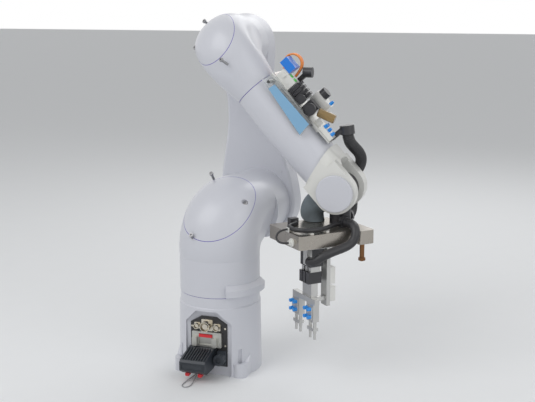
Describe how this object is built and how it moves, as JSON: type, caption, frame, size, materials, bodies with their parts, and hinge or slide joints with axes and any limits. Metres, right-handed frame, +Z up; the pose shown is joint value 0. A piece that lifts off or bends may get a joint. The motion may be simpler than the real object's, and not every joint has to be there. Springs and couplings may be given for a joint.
{
  "type": "six-axis robot arm",
  "caption": "Six-axis robot arm on a round pedestal with connector panel, forked wrist, valve package and hoses on the forearm, and a vacuum picking tool.",
  "frame": {"origin": "centre of the base's bottom face, on the first joint's axis", "axes": "+Z up along the first axis; +X the way the arm reaches; +Y along the second joint's axis towards the upper arm; the connector panel faces -Y"},
  "size_m": [0.6032, 0.4995, 1.0722],
  "materials": {
    "casting_grey": "satin",
    "seal_purple": "matte",
    "black_plastic": "matte",
    "nickel": "polished",
    "module_metal": "brushed",
    "red_plastic": "gloss",
    "steel": "machined",
    "bronze": "oiled",
    "clear_plastic": "clear",
    "pale_blue": "gloss",
    "bright_blue": "gloss",
    "white_plastic": "satin",
    "green_plastic": "gloss",
    "orange_tube": "satin",
    "amber": "gloss",
    "hose_black": "matte",
    "sleeve_grey": "woven",
    "wire_grey": "matte"
  },
  "bodies": {
    "base": {"base_casting": "casting_grey", "connector_panel": "black_plastic", "panel_connectors": "nickel", "power_module": "module_metal", "cable_plugs": "black_plastic", "plug_latches": "red_plastic", "earth_lead": "wire_grey", "j1_drive": "steel", "j1_seal": "seal_purple"},
    "shoulder": {"shoulder_casting": "casting_grey", "shoulder_gasket": "seal_purple", "shoulder_cover": "casting_grey", "shoulder_screws": "nickel", "j2_drive": "steel"},
    "upper_arm": {"upper_arm_casting": "casting_grey", "upper_arm_back_cover": "casting_grey", "upper_arm_plugs": "casting_grey"},
    "elbow": {"elbow_casting": "casting_grey", "elbow_gasket": "seal_purple", "elbow_cover": "casting_grey", "elbow_screws": "nickel", "j3_drive": "steel", "j4_drive": "steel", "j4_seal": "seal_purple"},
    "forearm": {"forearm_casting": "casting_grey", "wrist_fork": "casting_grey", "fork_covers": "casting_grey", "wrist_drives": "steel", "valve_deck": "module_metal", "side_shield": "clear_plastic", "blue_plate": "pale_blue", "manifold_blocks": "white_plastic", "green_rings": "green_plastic", "valve_stack": "black_plastic", "coil_block": "bright_blue", "orange_tubes": "orange_tube", "regulator_body": "module_metal", "pressure_gauges": "black_plastic", "vacuum_filter": "amber", "push_fittings": "bright_blue", "hose_clamp": "black_plastic", "dress_hose": "hose_black"},
    "regulator_dial": {"regulator_knob": "black_plastic"},
    "wrist": {"wrist_body": "steel", "wrist_sleeve": "sleeve_grey"},
    "tool": {"tool_flange": "steel", "tool_frame": "module_metal", "dock_pin": "bronze", "hose_fittings": "hose_black", "loop_hose": "hose_black", "top_cable": "hose_black", "tool_sensors": "white_plastic", "sensor_cable": "hose_black", "cable_ties": "white_plastic", "gripper_bracket": "module_metal", "gripper_valves": "black_plastic", "picker_bodies": "module_metal", "picker_fittings": "bright_blue"},
    "left_picker_slide": {"left_picker": "module_metal"},
    "right_picker_slide": {"right_picker": "module_metal"}
  },
  "joints": [
    {"name": "j1_turn", "type": "hinge", "parent": "base", "child": "shoulder", "pos_m": [0, 0, 0.246], "axis": [0, 0, 1], "range_deg": [-90, 270]},
    {"name": "j2_shoulder", "type": "hinge", "parent": "shoulder", "child": "upper_arm", "pos_m": [0.05, 0.15, 0.478], "axis": [0, 1, 0], "range_deg": [-123.7, 12]},
    {"name": "j3_elbow", "type": "hinge", "parent": "upper_arm", "child": "elbow", "pos_m": [-0.00487, 0.15, 0.97498], "axis": [0, 1, 0], "range_deg": [-225, 0.6]},
    {"name": "j4_forearm_roll", "type": "hinge", "parent": "elbow", "child": "forearm", "pos_m": [0.10332, 0.051, 0.8544], "axis": [0.6678, 0, -0.7443], "range_deg": [-270, 270]},
    {"name": "j5_wrist_bend", "type": "hinge", "parent": "forearm", "child": "wrist", "pos_m": [0.36244, 0.051, 0.56561], "axis": [0, 1, 0], "range_deg": [-115, 10], "deforming": ["dress_hose"]},
    {"name": "j6_tool_turn", "type": "hinge", "parent": "wrist", "child": "tool", "pos_m": [0.36244, 0.051, 0.46561], "axis": [0, 0, 1], "range_deg": [-30, 255], "deforming": ["dress_hose", "wrist_sleeve"]},
    {"name": "regulator_turn", "type": "hinge", "parent": "forearm", "child": "regulator_dial", "pos_m": [0.30072, 0.07, 0.83805], "axis": [0.7443, 0, 0.6678], "range_deg": [-135, 135]},
    {"name": "left_picker_slide", "type": "slide", "parent": "tool", "child": "left_picker_slide", "axis": [0, 0, -1], "range_m": [0, 0.015]},
    {"name": "right_picker_slide", "type": "slide", "parent": "tool", "child": "right_picker_slide", "axis": [0, 0, -1], "range_m": [0, 0.015]}
  ]
}
